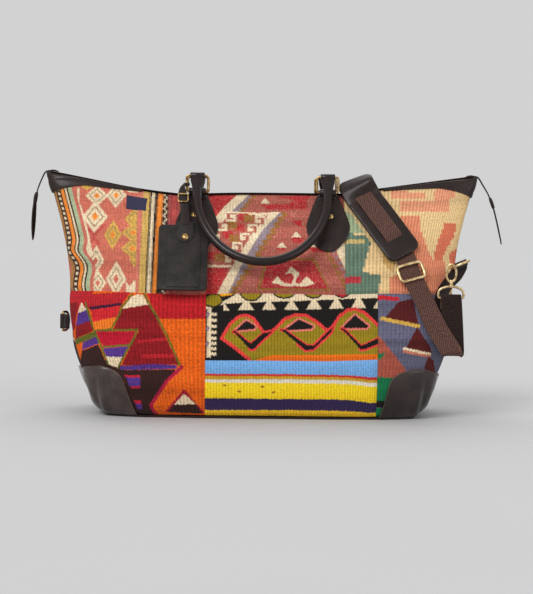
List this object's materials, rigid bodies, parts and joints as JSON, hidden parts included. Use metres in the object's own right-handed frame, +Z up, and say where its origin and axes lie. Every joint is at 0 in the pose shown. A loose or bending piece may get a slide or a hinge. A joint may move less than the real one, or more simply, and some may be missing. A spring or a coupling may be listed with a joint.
{
  "type": "kilim weekender bag",
  "caption": "Soft zipped weekender holdall sewn from kilim patches, with leather corners and zip ears, rolled handles on brass rings, a luggage tag and a clip-on padded shoulder strap.",
  "frame": {"origin": "middle of the base underside, on the floor", "axes": "+Z up, +X to the right of a viewer facing the front, -Y out of the front"},
  "size_m": [0.6509, 0.2491, 0.3472],
  "materials": {
    "kilim_red": "handwoven wool kilim, crimson, rose and orange patterns",
    "kilim_straw": "handwoven wool kilim, straw and green with salmon blocks",
    "kilim_dark": "handwoven wool kilim, dark ground with cream and olive hooks",
    "kilim_stripe": "handwoven wool kilim, blue, mustard and red stripes",
    "gusset_cloth": "plain wool side cloth",
    "dark_leather": "dark brown leather, soft sheen",
    "tag_leather": "charcoal leather, dull",
    "webbing": "brown woven webbing",
    "navy_cloth": "navy woven label cloth, plain",
    "brass": "aged brass, lightly polished"
  },
  "bodies": {
    "bag": {"kilim_front_diamonds": "kilim_red", "kilim_front_banded": "kilim_red", "kilim_front_stepped": "kilim_straw", "kilim_front_peaks": "kilim_red", "kilim_front_hooks": "kilim_dark", "kilim_front_stripes": "kilim_stripe", "kilim_front_serrated": "kilim_stripe", "kilim_rear_upper_left": "kilim_red", "kilim_rear_upper_right": "kilim_straw", "kilim_rear_lower_left": "kilim_stripe", "kilim_rear_lower_right": "kilim_red", "gusset_right": "gusset_cloth", "gusset_left": "gusset_cloth", "ear_right": "dark_leather", "ear_left": "dark_leather", "zip_facing_front": "dark_leather", "zip_facing_rear": "dark_leather", "zip_chain": "brass", "corner_front_right": "dark_leather", "corner_front_left": "dark_leather", "corner_rear_right": "dark_leather", "corner_rear_left": "dark_leather", "base_leather": "dark_leather", "handle_tab_front_left": "dark_leather", "handle_ring_front_left": "brass", "rivet_front_left": "brass", "handle_tab_front_right": "dark_leather", "handle_ring_front_right": "brass", "rivet_front_right": "brass", "handle_tab_rear_left": "dark_leather", "handle_ring_rear_left": "brass", "rivet_rear_left": "brass", "handle_tab_rear_right": "dark_leather", "handle_ring_rear_right": "brass", "rivet_rear_right": "brass", "sewn_label": "navy_cloth", "strap_loop_right": "brass", "dee_ring_right": "brass", "strap_loop_rear": "brass", "side_tab_left": "dark_leather", "side_tab_right": "dark_leather", "strap_webbing": "webbing", "shoulder_pad": "dark_leather", "strap_slider": "brass"},
    "front_handle": {"front_handle": "dark_leather"},
    "rear_handle": {"rear_handle": "dark_leather"},
    "tag": {"tag_strap": "dark_leather", "tag_buckle": "brass", "tag_pouch": "tag_leather", "tag_stud": "brass"},
    "zip_slider_left": {"zip_slider_left": "brass"},
    "zip_pull_left": {"zip_pull_left": "dark_leather"},
    "zip_slider_right": {"zip_slider_right": "brass"},
    "zip_pull_right": {"zip_pull_right": "dark_leather"},
    "hook_right": {"snap_hook_right": "brass"},
    "gate_right": {"hook_gate_right": "brass"},
    "hook_rear": {"snap_hook_rear": "brass"},
    "gate_rear": {"hook_gate_rear": "brass"},
    "dee_left": {"dee_ring_left": "brass"}
  },
  "joints": [
    {"name": "front_handle_swing", "type": "hinge", "parent": "bag", "child": "front_handle", "pos_m": [0, -0.029, 0.3318], "axis": [-1, 0, 0], "range_deg": [0, 155]},
    {"name": "rear_handle_swing", "type": "hinge", "parent": "bag", "child": "rear_handle", "pos_m": [0, 0.029, 0.3318], "axis": [1, 0, 0], "range_deg": [0, 155]},
    {"name": "tag_swing", "type": "hinge", "parent": "bag", "child": "tag", "pos_m": [-0.1059, -0.029, 0.3195], "axis": [0, -0.866, 0.5], "range_deg": [-18, 5]},
    {"name": "zip_left_slide", "type": "slide", "parent": "bag", "child": "zip_slider_left", "axis": [0.9897, 0, -0.1434], "range_m": [0, 0.05]},
    {"name": "zip_left_pull", "type": "hinge", "parent": "zip_slider_left", "child": "zip_pull_left", "pos_m": [-0.29661, 0, 0.34306], "axis": [0, 1, 0], "range_deg": [-1, 176]},
    {"name": "zip_right_slide", "type": "slide", "parent": "bag", "child": "zip_slider_right", "axis": [-0.9897, 0, -0.1434], "range_m": [0, 0.05]},
    {"name": "zip_right_pull", "type": "hinge", "parent": "zip_slider_right", "child": "zip_pull_right", "pos_m": [0.29661, 0, 0.34306], "axis": [0, -1, 0], "range_deg": [-1, 176]},
    {"name": "right_hook_swivel", "type": "hinge", "parent": "bag", "child": "hook_right", "pos_m": [0.257, -0.099, 0.168], "axis": [0, 0, 1], "range_deg": [-22, 10]},
    {"name": "right_hook_gate", "type": "hinge", "parent": "hook_right", "child": "gate_right", "pos_m": [0.26308, -0.09996, 0.1969], "axis": [-0.1564, -0.9877, 0], "range_deg": [0, 20], "stiffness_Nm_per_rad": 0.02, "springref_deg": -17.19},
    {"name": "rear_hook_swivel", "type": "hinge", "parent": "bag", "child": "hook_rear", "pos_m": [0.146, 0.126, 0.074], "axis": [0, 0, 1], "continuous": true},
    {"name": "rear_hook_gate", "type": "hinge", "parent": "hook_rear", "child": "gate_rear", "pos_m": [0.15216, 0.126, 0.0451], "axis": [0, 1, 0], "range_deg": [0, 20], "stiffness_Nm_per_rad": 0.02, "springref_deg": -17.19},
    {"name": "left_dee_swing", "type": "hinge", "parent": "bag", "child": "dee_left", "pos_m": [-0.273, -0.05958, 0.128], "axis": [0, 0, 1], "range_deg": [-8, 130]}
  ],
  "couplings": [
    {"joint": "zip_left_pull", "follows": "zip_left_slide", "rad_per_m": 61.087},
    {"joint": "zip_right_pull", "follows": "zip_right_slide", "rad_per_m": 61.087}
  ]
}
